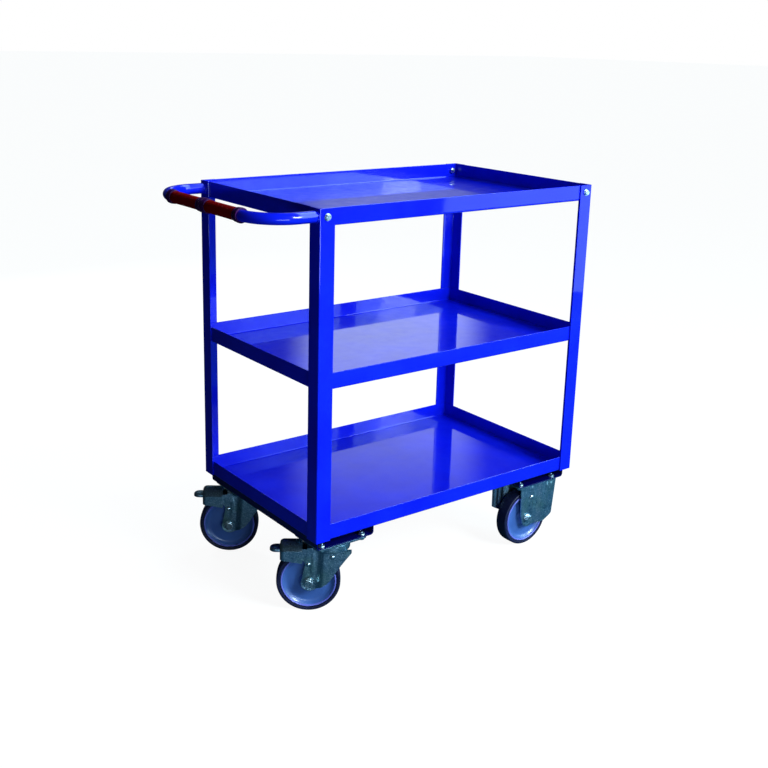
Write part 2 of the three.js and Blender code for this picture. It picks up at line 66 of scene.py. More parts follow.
def box(node):
    """Lowest and highest corner of a CAD node, in millimetres."""
    low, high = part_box(node)
    return low / MM, high / MM


POST_LOW, POST_HIGH = box("post_rear_right")[0], box("post_front_left")[1]
FRAME_MIDDLE = (POST_LOW + POST_HIGH) / 2


# ---------------------------------------------------------------- camera
VIEW_AZIMUTH, VIEW_ELEVATION, VIEW_ROLL = -36.796, 15.437, 1.328
SENSOR_WIDTH, LENS = 36, 51.03
LENS_SHIFT = (0.0276, -0.063)
EYE = FRAME_MIDDLE + Vector((-1641.1, -2062.2, 713.6))


def make_camera():
    """The photo's view from the rear right, a little above the top tray."""
    azimuth, elevation, roll = (math.radians(a) for a in (VIEW_AZIMUTH, VIEW_ELEVATION, VIEW_ROLL))
    back = Vector((
        math.sin(azimuth) * math.cos(elevation),
        -math.cos(azimuth) * math.cos(elevation),
        math.sin(elevation),
    ))
    right = Vector((math.cos(azimuth), math.sin(azimuth), 0))
    up = back.cross(right)
    turned_right = math.cos(roll) * right + math.sin(roll) * up
    turned_up = math.cos(roll) * up - math.sin(roll) * right
    data = bpy.data.cameras.new("camera")
    data.sensor_width = SENSOR_WIDTH
    data.lens = LENS
    data.shift_x, data.shift_y = LENS_SHIFT
    camera = bpy.data.objects.new("camera", data)
    scene.collection.objects.link(camera)
    rotation = Matrix((turned_right, turned_up, back)).transposed().to_4x4()
    camera.matrix_world = Matrix.Translation(EYE * MM) @ rotation
    scene.camera = camera


# ---------------------------------------------------------------- material nodes
class Nodes:
    """A material's node tree, with short calls for the nodes used here."""

    def __init__(self, name):
        self.material = bpy.data.materials.new(name)
        self.material.use_nodes = True
        self.tree = self.material.node_tree
        self.shader = self.tree.nodes["Principled BSDF"]
        self.place = self.tree.nodes.new("ShaderNodeTexCoord").outputs["Object"]

    def link(self, a, b):
        self.tree.links.new(a, b)

    def mapped(self, scale):
        node = self.tree.nodes.new("ShaderNodeMapping")
        node.inputs["Scale"].default_value = scale
        self.link(self.place, node.inputs["Vector"])
        return node.outputs[0]

    def noise(self, scale, detail=3, roughness=0.55, source=None):
        node = self.tree.nodes.new("ShaderNodeTexNoise")
        node.inputs["Scale"].default_value = scale
        node.inputs["Detail"].default_value = detail
        node.inputs["Roughness"].default_value = roughness
        self.link(source or self.place, node.inputs["Vector"])
        return node.outputs["Fac"]

    def spots(self, scale, source=None):
        node = self.tree.nodes.new("ShaderNodeTexVoronoi")
        node.inputs["Scale"].default_value = scale
        self.link(source or self.place, node.inputs["Vector"])
        return node.outputs["Distance"]

    def along(self, vector):
        """How far the object's points lie along a vector."""
        node = self.tree.nodes.new("ShaderNodeVectorMath")
        node.operation = "DOT_PRODUCT"
        node.inputs[1].default_value = vector
        self.link(self.place, node.inputs[0])
        return node.outputs["Value"]

    def ranged(self, value, low, high, to_low, to_high):
        node = self.tree.nodes.new("ShaderNodeMapRange")
        node.inputs["From Min"].default_value = low
        node.inputs["From Max"].default_value = high
        node.inputs["To Min"].default_value = to_low
        node.inputs["To Max"].default_value = to_high
        self.link(value, node.inputs["Value"])
        return node.outputs["Result"]

    def ramp(self, value, stops):
        node = self.tree.nodes.new("ShaderNodeValToRGB")
        elements = node.color_ramp.elements
        while len(elements) < len(stops):
            elements.new(0.5)
        for element, (position, colour) in zip(elements, stops):
            element.position = position
            element.color = (*colour, 1)
        self.link(value, node.inputs["Fac"])
        return node.outputs["Color"]

    def mixed(self, factor, a, b):
        node = self.tree.nodes.new("ShaderNodeMix")
        node.data_type = "RGBA"
        self.link(factor, node.inputs["Factor"])
        for socket, value in ((node.inputs[6], a), (node.inputs[7], b)):
            if isinstance(value, tuple):
                socket.default_value = (*value, 1)
            else:
                self.link(value, socket)
        return node.outputs[2]

    def bump(self, height, strength, distance, after=None):
        node = self.tree.nodes.new("ShaderNodeBump")
        node.inputs["Strength"].default_value = strength
        node.inputs["Distance"].default_value = distance
        self.link(height, node.inputs["Height"])
        if after is not None:
            self.link(after, node.inputs["Normal"])
        return node.outputs["Normal"]

    def set(self, **values):
        for name, value in values.items():
            socket = self.shader.inputs[name.replace("_", " ")]
            if isinstance(value, bpy.types.NodeSocket):
                self.link(value, socket)
            elif isinstance(value, tuple):
                socket.default_value = (*value, 1)
            else:
                socket.default_value = value


def blue_paint(name="blue_paint", waviness=0.0, depth=1.0):
    """Glossy powder coat: fine orange peel, faint cloudiness and a few dull patches."""
    n = Nodes(name)
    # depth below 1 darkens every colour of the coat: painted shade, used for the channels under the bottom
    # tray
    dark, light, dusty = (
        tuple(depth * c for c in colour)
        for colour in ((0.001, 0.004, 0.54), (0.002, 0.010, 0.66), (0.01, 0.05, 0.64))
    )
    colour = n.ramp(n.noise(9, 4), [(0.3, dark), (0.7, light)])
    dust = n.ranged(n.noise(14, 6, 0.65), 0.62, 0.8, 0, 0.12)
    colour = n.mixed(dust, colour, dusty)
    peel = n.bump(n.noise(420, 2), 0.1, 0.0003)
    normal = n.bump(n.noise(5, 1), waviness, 0.02, peel) if waviness else peel
    n.set(
        Base_Color=colour,
        Roughness=n.ranged(n.noise(35, 5), 0.3, 0.75, 0.3, 0.42),
        Normal=normal,
        Specular_IOR_Level=0.05,
        Coat_Weight=0.8,
        Coat_Roughness=0.04,
    )
    return n.material


def zinc(name, low, high, green, rough):
    """Bright zinc plate: crystalline mottling, faint passivation tints and fine rolling lines."""
    n = Nodes(name)
    base = n.mixed(n.ranged(n.spots(260), 0.12, 0.5, 1, 0), low, high)
    tinted = n.mixed(n.ranged(n.noise(16, 3), 0.48, 0.7, 0, 0.55), base, green)
    lines = n.noise(900, 2, 0.5, n.mapped((1, 1, 0.04)))
    normal = n.bump(lines, 0.08, 0.0002, n.bump(n.spots(330), 0.3, 0.0009))
    n.set(
        Base_Color=tinted,
        Metallic=1.0,
        Roughness=n.ranged(n.noise(120, 4), 0.3, 0.7, rough - 0.07, rough + 0.09),
        Normal=normal,
    )
    return n.material


def grip_plastic():
    """Dark red moulded sleeve with a fine grain and finger shine."""
    n = Nodes("grip_plastic")
    colour = n.ramp(n.noise(30, 4), [(0.35, (0.16, 0.0005, 0.0012)), (0.7, (0.25, 0.001, 0.003))])
    n.set(
        Base_Color=colour,
        Roughness=n.ranged(n.noise(45, 4), 0.35, 0.7, 0.46, 0.6),
        Normal=n.bump(n.spots(1500), 0.15, 0.0003),
        Specular_IOR_Level=0.02,
    )
    return n.material


def collar_plastic():
    """The violet-dark end flanges of the grips."""
    n = Nodes("collar_plastic")
    colour = n.ramp(n.noise(60, 3), [(0.35, (0.022, 0.001, 0.045)), (0.7, (0.040, 0.002, 0.075))])
    n.set(
        Base_Color=colour,
        Roughness=n.ranged(n.noise(45, 4), 0.35, 0.7, 0.34, 0.5),
        Normal=n.bump(n.spots(1500), 0.12, 0.0003),
        Specular_IOR_Level=0.12,
    )
    return n.material


def tyre_rubber():
    """Dark navy elastic rubber, a little dusty on the tread."""
    n = Nodes("tyre_rubber")
    colour = n.ramp(n.noise(25, 5), [(0.35, (0.0018, 0.0025, 0.022)), (0.75, (0.005, 0.008, 0.046))])
    n.set(
        Base_Color=colour,
        Roughness=n.ranged(n.noise(90, 4), 0.3, 0.75, 0.42, 0.62),
        Normal=n.bump(n.noise(700, 2), 0.15, 0.0004),
        Specular_IOR_Level=0.3,
    )
    return n.material


def rim_plastic(name, dark, light):
    """Moulded wheel centre with faint flow marks."""
    n = Nodes(name)
    colour = n.ramp(n.noise(18, 4), [(0.3, dark), (0.75, light)])
    n.set(
        Base_Color=colour,
        Roughness=n.ranged(n.noise(60, 4), 0.3, 0.7, 0.28, 0.44),
        Normal=n.bump(n.noise(500, 2), 0.12, 0.0003),
        Coat_Weight=0.3,
        Coat_Roughness=0.15,
    )
    return n.material


def brake_rubber():
    """Matte black block, roughened by wear."""
    n = Nodes("brake_rubber")
    n.set(
        Base_Color=n.ramp(n.noise(80, 4), [(0.3, (0.006, 0.006, 0.008)), (0.7, (0.016, 0.016, 0.02))]),
        Roughness=0.75,
        Normal=n.bump(n.noise(400, 3), 0.3, 0.0005),
    )
    return n.material


PAINT = blue_paint()
TRAY_PAINT = blue_paint("tray_paint", waviness=0.05)
# painted shade: the channels take the blue paint darkened to about an eighth, standing in for the shade
# under the bottom tray
SHADED_CHANNEL_PAINT = blue_paint("channel_painted_shade", depth=0.12)
ZINC_SHEET = zinc("zinc_sheet", (0.20, 0.34, 0.46), (0.40, 0.57, 0.72), (0.17, 0.33, 0.27), 0.34)
ZINC_BOLT = zinc("zinc_bolt", (0.48, 0.58, 0.66), (0.68, 0.78, 0.86), (0.45, 0.6, 0.58), 0.27)
GRIP = grip_plastic()
COLLAR = collar_plastic()
TYRE = tyre_rubber()
RIM = rim_plastic("rim_plastic", (0.034, 0.085, 0.30), (0.052, 0.125, 0.40))
# painted highlight: the lip rings get a lighter blue than the centre, standing in for light caught on the
# lip's edge
LIP_PAINTED_HIGHLIGHT = rim_plastic("rim_lip_painted_highlight", (0.10, 0.11, 0.50), (0.15, 0.17, 0.62))
SHOE = brake_rubber()


# ---------------------------------------------------------------- shapes, in millimetres
def arc(centre, radius, start, end, steps):
    """Points of an arc in a plane, from start to end in degrees."""
    angles = [math.radians(start + (end - start) * i / steps) for i in range(steps + 1)]
    return [(centre[0] + radius * math.cos(a), centre[1] + radius * math.sin(a)) for a in angles]


def lathe(profile, segments=72, closed=False):
    """Turned about Y. The profile is a list of (radius, y); a radius of 0 is a point on the axis."""
    verts, rings, faces = [], [], []
    for radius, y in profile:
        count = 1 if radius < 1e-6 else segments
        rings.append([len(verts) + i for i in range(count)])
        for i in range(count):
            a = 2 * math.pi * i / segments
            verts.append((radius * math.sin(a), y, radius * math.cos(a)))
    following = rings[1:] + (rings[:1] if closed else [])
    for a, b in zip(rings, following):
        for i in range(segments):
            j = (i + 1) % segments
            corners = [a[i % len(a)], a[j % len(a)], b[j % len(b)], b[i % len(b)]]
            corners = list(dict.fromkeys(corners))
            if len(corners) > 2:
                faces.append(corners)
    return verts, faces


def loft(rings, path_closed=False):
    """Skin over rings that have the same number of points, with caps unless the path is closed."""
    count = len(rings[0])
    verts = [p for ring in rings for p in ring]
    faces = []
    spans = len(rings) if path_closed else len(rings) - 1
    for i in range(spans):
        a, b = i * count, (i + 1) % len(rings) * count
        for k in range(count):
            m = (k + 1) % count
            faces.append([a + k, a + m, b + m, b + k])
    if not path_closed:
        faces.append(list(range(count))[::-1])
        faces.append([len(verts) - count + i for i in range(count)])
    return verts, faces


def prism(outline, low, high, axis):
    """An outline given depth along Y or Z. It is drawn in X and the other of the two."""
    def place(a, b, depth):
        return (a, depth, b) if axis == "Y" else (a, b, depth)

    return loft([[place(a, b, d) for a, b in outline] for d in (low, high)])


def joined(*shapes):
    """Several shapes as one list of points and faces."""
    verts, faces = [], []
    for v, f in shapes:
        faces += [[i + len(verts) for i in face] for face in f]
        verts += v
    return verts, faces


def moved(shape, matrix):
    """The shape with its points moved by a matrix."""
    verts, faces = shape
    return [tuple(matrix @ Vector(v)) for v in verts], faces


def upright(shape):
    """Turned about Y becomes turned about Z."""
    verts, faces = shape
    return [(x, -z, y) for x, y, z in verts], faces


HEX_STEPS = 72
CHAMFER_START, CHAMFER_MIDDLE, CHAMFER_SLOPE = 0.93, 0.985, 0.5


def hexagon_ring(flat, reach, y_of):
    """Ring about Y: a circle at a share of flat, or a hexagon with its sides at flat when reach is None."""
    ring = []
    for i in range(HEX_STEPS):
        a = 2 * math.pi * i / HEX_STEPS
        from_flat = (a + math.pi / 6) % (math.pi / 3) - math.pi / 6
        r = flat * reach if reach else flat / math.cos(from_flat)
        ring.append((r * math.sin(a), y_of(r), r * math.cos(a)))
    return ring


def hexagon_bolt(radius, height, washer_radius=0.0, washer=0.0, shank=0.0, length=0.0):
    """Head along +Y from 0, chamfered, with an optional washer under it and a shank along -Y."""
    flat = radius * math.cos(math.pi / 6)

    def chamfered(r):
        return height - max(0.0, r - flat * CHAMFER_START) * CHAMFER_SLOPE

    rings = [hexagon_ring(flat, reach, chamfered) for reach in (CHAMFER_START, CHAMFER_MIDDLE, None)]
    rings.append(hexagon_ring(flat, None, lambda r: washer))
    parts = [loft(rings)]
    if washer:
        w = washer_radius
        profile = [(0, 0), (w - 0.4, 0), (w, 0.3), (w, washer - 0.3), (w - 0.4, washer), (0, washer)]
        parts.append(lathe(profile))
    if length:
        end = [(shank, -1), (shank, -length + 1), (shank - 1, -length), (0, -length)]
        parts.append(lathe([(0, 0.5), (shank, 0.5), *end], 32))
    return joined(*parts)


THREAD_PITCH = 1.25


def hexagon_nut(radius, height, bolt_radius, proud):
    """Nut along +Y from 0 with the end of its bolt standing proud, cut with thread rings."""
    thread = [(0, height - 1.2), (bolt_radius, height - 1)]
    turns = max(1, int(proud / THREAD_PITCH))
    for i in range(turns):
        y = height + i * THREAD_PITCH
        thread += [(bolt_radius, y), (bolt_radius, y + 0.35), (bolt_radius - 0.7, y + 0.8)]
    top = height + turns * THREAD_PITCH
    thread += [(bolt_radius - 0.6, top), (bolt_radius - 1.4, top + 0.7), (0, top + 0.7)]
    return joined(hexagon_bolt(radius, height), lathe(thread, 32))


RELIEF_GRID = 2.5


def pressed_sheet(outline, shape_of):
    """An outline in X and Z, cut into a fine grid and pressed into relief: shape_of(x, z) is its y."""
    bm = bmesh.new()
    bm.faces.new([bm.verts.new((a, b, 0)) for a, b in outline])
    for axis in (0, 1):
        values = [p[axis] for p in outline]
        line = math.ceil(min(values) / RELIEF_GRID) * RELIEF_GRID
        while line < max(values):
            normal = (1, 0, 0) if axis == 0 else (0, 1, 0)
            point = (line, 0, 0) if axis == 0 else (0, line, 0)
            everything = bm.verts[:] + bm.edges[:] + bm.faces[:]
            bmesh.ops.bisect_plane(bm, geom=everything, plane_co=point, plane_no=normal)
            line += RELIEF_GRID
    bmesh.ops.triangulate(bm, faces=[f for f in bm.faces if len(f.verts) > 4])
    for v in bm.verts:
        x, z = v.co.x, v.co.y
        v.co = (x, shape_of(x, z), z)
    bm.verts.index_update()
    verts = [tuple(v.co) for v in bm.verts]
    faces = [[v.index for v in f.verts] for f in bm.faces]
    bm.free()
    return verts, faces


def smooth_step(value, low, high):
    """Eases from 0 at low to 1 at high."""
    t = min(1.0, max(0.0, (value - low) / (high - low)))
    return t * t * (3 - 2 * t)


# ---------------------------------------------------------------- pieces
def raw_object(name, shape, matrix=None):
    """A Blender object in metres, with its faces pointing out."""
    verts, faces = moved(shape, matrix) if matrix is not None else shape
    mesh = bpy.data.meshes.new(name)
    mesh.from_pydata([Vector(v) * MM for v in verts], [], faces)
    bm = bmesh.new()
    bm.from_mesh(mesh)
    bmesh.ops.remove_doubles(bm, verts=bm.verts, dist=1e-7)
    bmesh.ops.recalc_face_normals(bm, faces=bm.faces)
    bm.to_mesh(mesh)
    bm.free()
    obj = bpy.data.objects.new(name, mesh)
    scene.collection.objects.link(obj)
    return obj


def baked(obj):
    """Applies the object's modifiers to its mesh."""
    bpy.context.view_layer.update()
    graph = bpy.context.evaluated_depsgraph_get()
    mesh = bpy.data.meshes.new_from_object(obj.evaluated_get(graph))
    old = obj.data
    obj.modifiers.clear()
    obj.data = mesh
    bpy.data.meshes.remove(old)
    return obj


def thickened(obj, thickness):
    """Gives an open surface thickness, half to each side."""
    solidify = obj.modifiers.new("thickness", "SOLIDIFY")
    solidify.thickness = thickness * MM
    solidify.offset = 0
    solidify.use_even_offset = True
    return baked(obj)


def combined(first, other, operation):
    """Boolean of two closed objects. The second one is used up."""
    modifier = first.modifiers.new("boolean", "BOOLEAN")
    modifier.operation = operation
    modifier.solver = "EXACT"
    modifier.object = other
    baked(first)
    bpy.data.objects.remove(other)


def united(name, objects):
    """One closed object from several that overlap."""
    first, rest = objects[0], objects[1:]
    for other in rest:
        combined(first, other, "UNION")
    first.name = name
    return first


def cut_away(obj, tool):
    """Takes the tool's volume out of the object."""
    combined(obj, tool, "DIFFERENCE")


def add_rounding(obj, radius):
    """Bevels the edges that are sharper than 40 degrees."""
    bevel = obj.modifiers.new("rounding", "BEVEL")
    bevel.width = radius * MM
    bevel.segments = 2
    bevel.limit_method = "ANGLE"
    bevel.angle_limit = math.radians(40)


def finished(obj, material, body, replaces=(), rounding=0.5, smooth=35):
    """Rounds the edges, shades and colours a piece, and hangs it on its body."""
    if rounding:
        add_rounding(obj, rounding)
        baked(obj)
    mesh = obj.data
    mesh.polygons.foreach_set("use_smooth", [True] * len(mesh.polygons))
    mesh.set_sharp_from_angle(angle=math.radians(smooth))
    obj.modifiers.new("flat_faces", "WEIGHTED_NORMAL").keep_sharp = True
    baked(obj)
    obj.data.materials.clear()
    obj.data.materials.append(material)
    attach(obj, body)
    if replaces:
        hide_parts(*replaces)
    return obj


def piece(name, shape, material, body, replaces=(), matrix=None, rounding=0.5, smooth=35):
    """A finished piece made straight from its points and faces."""
    return finished(raw_object(name, shape, matrix), material, body, replaces, rounding, smooth)


def dress_node(name, material, rounding=0.4):
    """A CAD node that stays: rounded edges and a material."""
    obj = frame["nodes"][name]
    weld = obj.modifiers.new("weld", "WELD")
    weld.merge_threshold = 1e-6
    add_rounding(obj, rounding)
    obj.data.materials.clear()
    obj.data.materials.append(material)


# ---------------------------------------------------------------- frame
POST_FLANGE = 38
POST_STEEL = 3
POST_OUTER_BEND, POST_INNER_BEND = 3.0, 1.2
TRAY_STEEL = 2
TRAY_CORNER, TRAY_BEND, TRAY_LIP = 6.0, 5.0, 0.9
BEND_STEPS = 6
CHANNEL_STEEL = 2.5
CHANNEL_BEND = 8.0


def make_post(corner):
    """Folded angle with a rounded outside corner."""
    node = f"post_{corner}"
    low, high = box(node)
    sx, sy = CORNERS[corner]
    x, y = (high.x if sx > 0 else low.x), (high.y if sy > 0 else low.y)
    f, t, ro, ri = POST_FLANGE, POST_STEEL, POST_OUTER_BEND, POST_INNER_BEND
    outline = [(-f, 0), (-f, -t), *arc((-t - ri, -t - ri), ri, 90, 0, 4), (-t, -f), (0, -f)]
    outline += arc((-ro, -ro), ro, 0, 90, 6)
    placed = [(x + sx * a, y + sy * b) for a, b in outline]
    piece(f"angle_{corner}", prism(placed, low.z, high.z, "Z"), PAINT, CART, [node],
          rounding=0.6)


def rounded_rectangle(x0, x1, y0, y1, r, z):
    """Ring of points at height z."""
    points = arc((x1 - r, y1 - r), r, 0, 90, 6) + arc((x0 + r, y1 - r), r, 90, 180, 6)
    points += arc((x0 + r, y0 + r), r, 180, 270, 6) + arc((x1 - r, y0 + r), r, 270, 360, 6)
    return [(a, b, z) for a, b in points]


def make_tray(node):
    """Folded pan: rounded bend under each wall and a softly rounded rim."""
    low, high = box(node)
    corner, bend, t, lip = TRAY_CORNER, TRAY_BEND, TRAY_STEEL, TRAY_LIP

    def ring(inset, z):
        r = max(0.4, corner - inset)
        return rounded_rectangle(low.x + inset, high.x - inset, low.y + inset, high.y - inset, r, z)

    rings = []
    turns = [math.radians(90 * i / BEND_STEPS) for i in range(BEND_STEPS + 1)]
    for a in turns:
        rings.append(ring(bend * (1 - math.sin(a)), low.z + bend * (1 - math.cos(a))))
    rings += [ring(0, high.z - lip), ring(0.3, high.z - 0.3), ring(lip, high.z)]
    rings += [ring(t - 0.3, high.z - 0.3), ring(t, high.z - lip)]
    inner = bend - t
    for a in turns:
        rings.append(ring(t + inner * (1 - math.cos(a)), low.z + t + inner * (1 - math.sin(a))))
    piece(f"{node}_pan", loft(rings), TRAY_PAINT, CART, [node], rounding=0, smooth=50)


def make_channel(node):
    """Bent channel across the underside, in a darkened paint that stands in for shade (painted shade)."""
    low, high = box(node)
    t, r = CHANNEL_STEEL, CHANNEL_BEND
    x0, x1, z0, z1 = low.x, high.x, low.z, high.z
    outline = [(x0, z1), *arc((x0 + r, z0 + r), r, 180, 270, 8), *arc((x1 - r, z0 + r), r, 270, 360, 8)]
    outline += [(x1, z1), (x1 - t, z1), *arc((x1 - r, z0 + r), r - t, 0, -90, 8)]
    outline += [*arc((x0 + r, z0 + r), r - t, 270, 180, 8), (x0 + t, z1)]
    # painted shade: darkened paint instead of shade from the lights
    piece(f"{node}_section", prism(outline, low.y, high.y, "Y"), SHADED_CHANNEL_PAINT, CART,
          [node])


# ---------------------------------------------------------------- handle
HANDLE_BEND = 85.0
HANDLE_INSET = 15.0
HANDLE_RADIUS = 12.5


def make_handle():
    """One tube swept along two straight legs, two bends and the cross bar."""
    low, high = box("handle_tube")
    grip_low, grip_high = box("grip_left")
    bar, z = (grip_low.x + grip_high.x) / 2, (low.z + high.z) / 2
    leg, end = POST_HIGH.y - HANDLE_INSET, high.x
    centre_x, centre_y = bar + HANDLE_BEND, leg - HANDLE_BEND
    route = [(end, leg), *arc((centre_x, centre_y), HANDLE_BEND, 90, 180, 28)]
    route += [*arc((centre_x, -centre_y), HANDLE_BEND, 180, 270, 28), (end, -leg)]
    rings = []
    steps = 40
    for i, (x, y) in enumerate(route):
        before, after = route[max(0, i - 1)], route[min(len(route) - 1, i + 1)]
        along = Vector((after[0] - before[0], after[1] - before[1], 0)).normalized()
        side = Vector((-along.y, along.x, 0))
        ring = []
        for k in range(steps):
            a = 2 * math.pi * k / steps
            outward = math.cos(a) * side + math.sin(a) * Vector((0, 0, 1))
            ring.append(tuple(Vector((x, y, z)) + HANDLE_RADIUS * outward))
        rings.append(ring)
    piece("handle_bar", loft(rings), PAINT, CART, ["handle_tube"], rounding=0, smooth=60)
    for name, y in (("left", leg), ("right", -leg)):
        make_tube_weld(f"handle_weld_{name}", end, y, z)


def make_tube_weld(name, x, y, z):
    """Weld bead round the tube where it meets the post."""
    rings = []
    for i in range(72):
        a = 2 * math.pi * i / 72
        ripple = 0.35 * math.sin(a * 17) + 0.5 * noise.noise(Vector((math.cos(a), math.sin(a), y)) * 3)
        bead = 2.6 + ripple
        ring = []
        for k in range(8):
            b = 2 * math.pi * k / 8
            radius = HANDLE_RADIUS + 0.2 + bead * 0.8 * math.cos(b)
            along = x - 1.0 + bead * 0.7 * math.sin(b)
            ring.append((along, y + radius * math.cos(a), z + radius * math.sin(a)))
        rings.append(ring)
    piece(name, loft(rings, path_closed=True), PAINT, CART, rounding=0, smooth=80)


GRIP_BORE, GRIP_RADIUS = 12.8, 14.3
GRIP_FLANGE_RADIUS, GRIP_FLANGE_WIDTH = 16.4, 17.0


def make_grip(node):
    """Sleeve between two raised end flanges."""
    low, high = box(node)
    half = (high.y - low.y) / 2
    bore, r, f, w = GRIP_BORE, GRIP_RADIUS, GRIP_FLANGE_RADIUS, GRIP_FLANGE_WIDTH
    matrix = Matrix.Translation((low + high) / 2)

    def flange(start, direction):
        points = [(bore, 0), (f - 1.8, 0), *arc((f - 1.6, 1.6), 1.6, -90, 0, 6), (f, 7.5)]
        points += [(f - 0.3, 9.0), (f - 1.0, 10.4), (r + 0.5, 12.5), (r + 0.1, 14.4)]
        points += [*arc((r + 0.3, 15.9), 1.1, -90, 90, 6), (bore, w)]
        return [(a, start + direction * b) for a, b in points]

    inner = half - w - 0.2
    sleeve = [(bore, -inner), (r - 0.4, -inner), (r - 0.1, -inner + 0.6), (r - 0.3, -inner + 8)]
    sleeve += [(r - 0.5, 0), (r - 0.3, inner - 8), (r - 0.1, inner - 0.6), (r - 0.4, inner), (bore, inner)]
    piece(f"{node}_sleeve", lathe(sleeve, 64, closed=True), GRIP, CART, [node],
          matrix, rounding=0, smooth=50)
    for end, direction in (("a", 1), ("b", -1)):
        shape = lathe(flange(-direction * half, direction), 64, closed=True)
        piece(f"{node}_flange_{end}", shape, COLLAR, CART, matrix=matrix,
              rounding=0, smooth=50)


# ---------------------------------------------------------------- corner bolts
def make_corner_fastener(corner):
    """Bolt through the side of a post into the top tray, with its nut inside the tray."""
    _, sy = CORNERS[corner]
    low, high = box(f"corner_bolt_{corner}")
    centre = (low + high) / 2
    face = sy * POST_HIGH.y
    turn = Matrix.Rotation(0 if sy > 0 else math.pi, 4, "Z")
    outside = Matrix.Translation((centre.x, face, centre.z)) @ turn
    bolt = hexagon_bolt(6.6, 5.4, washer_radius=8.0, washer=1.4, shank=4.0, length=6.0)
    piece(f"hex_bolt_{corner}", bolt, ZINC_BOLT, CART, [f"corner_bolt_{corner}"],
          outside, rounding=0, smooth=30)
    nut_low, nut_high = box(f"corner_nut_{corner}")
    inner = nut_high.y if sy > 0 else nut_low.y
    back = Matrix.Translation((centre.x, inner, centre.z)) @ turn @ Matrix.Rotation(math.pi, 4, "Z")
    nut = hexagon_nut(7.4, 6.4, bolt_radius=4.0, proud=2.5)
    piece(f"hex_nut_{corner}", nut, ZINC_BOLT, CART,
          [f"corner_nut_{corner}"], back, rounding=0, smooth=30)


# ---------------------------------------------------------------- wheels
WHEEL_RADIUS = 75.0
RIM_RADIUS = 65.5
LEG_INNER = 21.0
LEG_STEEL = 3.0


def joint(name):
    """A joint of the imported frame."""
    return next(j for j in frame["joints"] if j["name"] == name)


def caster_place(prefix):
    """Frame of a caster: the axle along Y, the middle of the wheel at the origin, Z up."""
    spin = joint(f"{prefix}_wheel_spin")
    across = Vector(spin["axis"])
    along = across.cross(Vector((0, 0, 1)))
    turn = Matrix((along, across, Vector((0, 0, 1)))).transposed().to_4x4()
    return Matrix.Translation(Vector(spin["pos_m"]) / MM) @ turn


def make_wheel(prefix):
    """Tyre, moulded centre with a hub, and a raised ring between the two on each side, coloured lighter than
    the centre as a painted highlight.
    """
    place = caster_place(prefix)
    body = f"{prefix}_wheel"
    rubber = [(65.9, -14.5), (66.4, -16.0), (69.0, -16.8), *arc((71.4, -13.4), 3.4, -90, -20, 6)]
    r = WHEEL_RADIUS
    rubber += [(r - 0.15, -9), (r, -4), (r, 4), (r - 0.15, 9)]
    rubber += [*arc((71.4, 13.4), 3.4, 20, 90, 6), (69.0, 16.8), (66.4, 16.0), (65.9, 14.5)]
    piece(f"{prefix}_tread", lathe(rubber, 120, closed=True), TYRE, body,
          [f"{prefix}_tyre"], place, rounding=0, smooth=50)
    side = [(9.4, 20.3), (15.5, 20.3), (16.5, 19.6), (19.5, 12.5), (22, 9.6), (26, 8.6), (48, 7.6)]
    side += [(53, 8.2), (56.5, 10.2), (59.6, 13.6), (60.6, 14.0), (65.4, 14.0), (RIM_RADIUS, 12)]
    profile = side + [(r, -y) for r, y in reversed(side)]
    piece(f"{prefix}_centre", lathe(profile, 120, closed=True), RIM, body,
          [f"{prefix}_rim"], place, rounding=0, smooth=32)
    for name, turn in (("outer", 1), ("inner", -1)):
        lip = [(60.8, 14.3), *arc((62.9, 15.0), 1.9, 200, -20, 10), (65.0, 14.3)]
        ring = [(a, turn * b) for a, b in lip]
        piece(f"{prefix}_lip_{name}", lathe(ring, 120, closed=True), LIP_PAINTED_HIGHLIGHT, body,
              matrix=place, rounding=0, smooth=60)


def make_axle(prefix, body):
    """Bolt head with washer on one side, nut on the other."""
    place = caster_place(prefix)
    face = LEG_INNER + LEG_STEEL
    head = hexagon_bolt(10.4, 8.6, washer_radius=12.5, washer=1.8, shank=6.0, length=10.0)
    turn = Matrix.Rotation(math.pi, 4, "Z")
    piece(f"{prefix}_axle_head", head, ZINC_BOLT, body, [f"{prefix}_axle_bolt"],
          place @ turn @ Matrix.Translation((0, face, 0)), rounding=0, smooth=30)
    washer = lathe([(0, -0.2), (12.2, -0.2), (12.5, 0.2), (12.5, 1.3), (12.1, 1.7), (0, 1.7)])
    nut = joined(hexagon_nut(10.4, 9.8, bolt_radius=6.0, proud=2.6), washer)
    piece(f"{prefix}_axle_end", nut, ZINC_BOLT, body, [f"{prefix}_axle_nut"],
          place @ Matrix.Translation((0, face, 0)), rounding=0, smooth=30)
    dress_node(f"{prefix}_axle_sleeve", ZINC_BOLT)


# ---------------------------------------------------------------- swivel caster
TRAIL = 50.0
PEDAL_PIVOT = (0.0, 46.5)
STOP_RIVET = (55.0, 69.0)
HEAD_FLOOR = 84.0
KING_PIN_HOLE = 8.2
LEG_STEP = 7.0
BOSS_DISH = 0.9


def leg_outline():
    """Side view of a fork leg, from the axle: along the caster and up."""
    points = [(-3, HEAD_FLOOR + 3.5), (-6, 60), (-8, 42), (-16.5, 3)]
    points += arc((2.5, 0), 20, 178, 306, 14)
    points += [(30, -9), (45, 2), (56, 17), (67, 36), (84, 60), (96, 76), (99, 80), (99, HEAD_FLOOR + 3.5)]
    return points


def leg_relief(side):
    """Steps outward under the swivel head, with a dished boss round the axle and a stiffening rib."""
    def relief(a, b):
        out = LEG_INNER + LEG_STEEL / 2
        out += LEG_STEP * smooth_step(a - 0.06 * b, 17, 33)
        boss = math.hypot(a - 1, b)
        out -= BOSS_DISH * (1 - smooth_step(boss, 13, 17))
        rib = 1 - smooth_step(abs(a - 8 - 0.05 * b), 1.5, 4.5)
        out += 0.8 * rib * smooth_step(b, 18, 30) * (1 - smooth_step(b, 66, 78))
        return side * out
    return relief


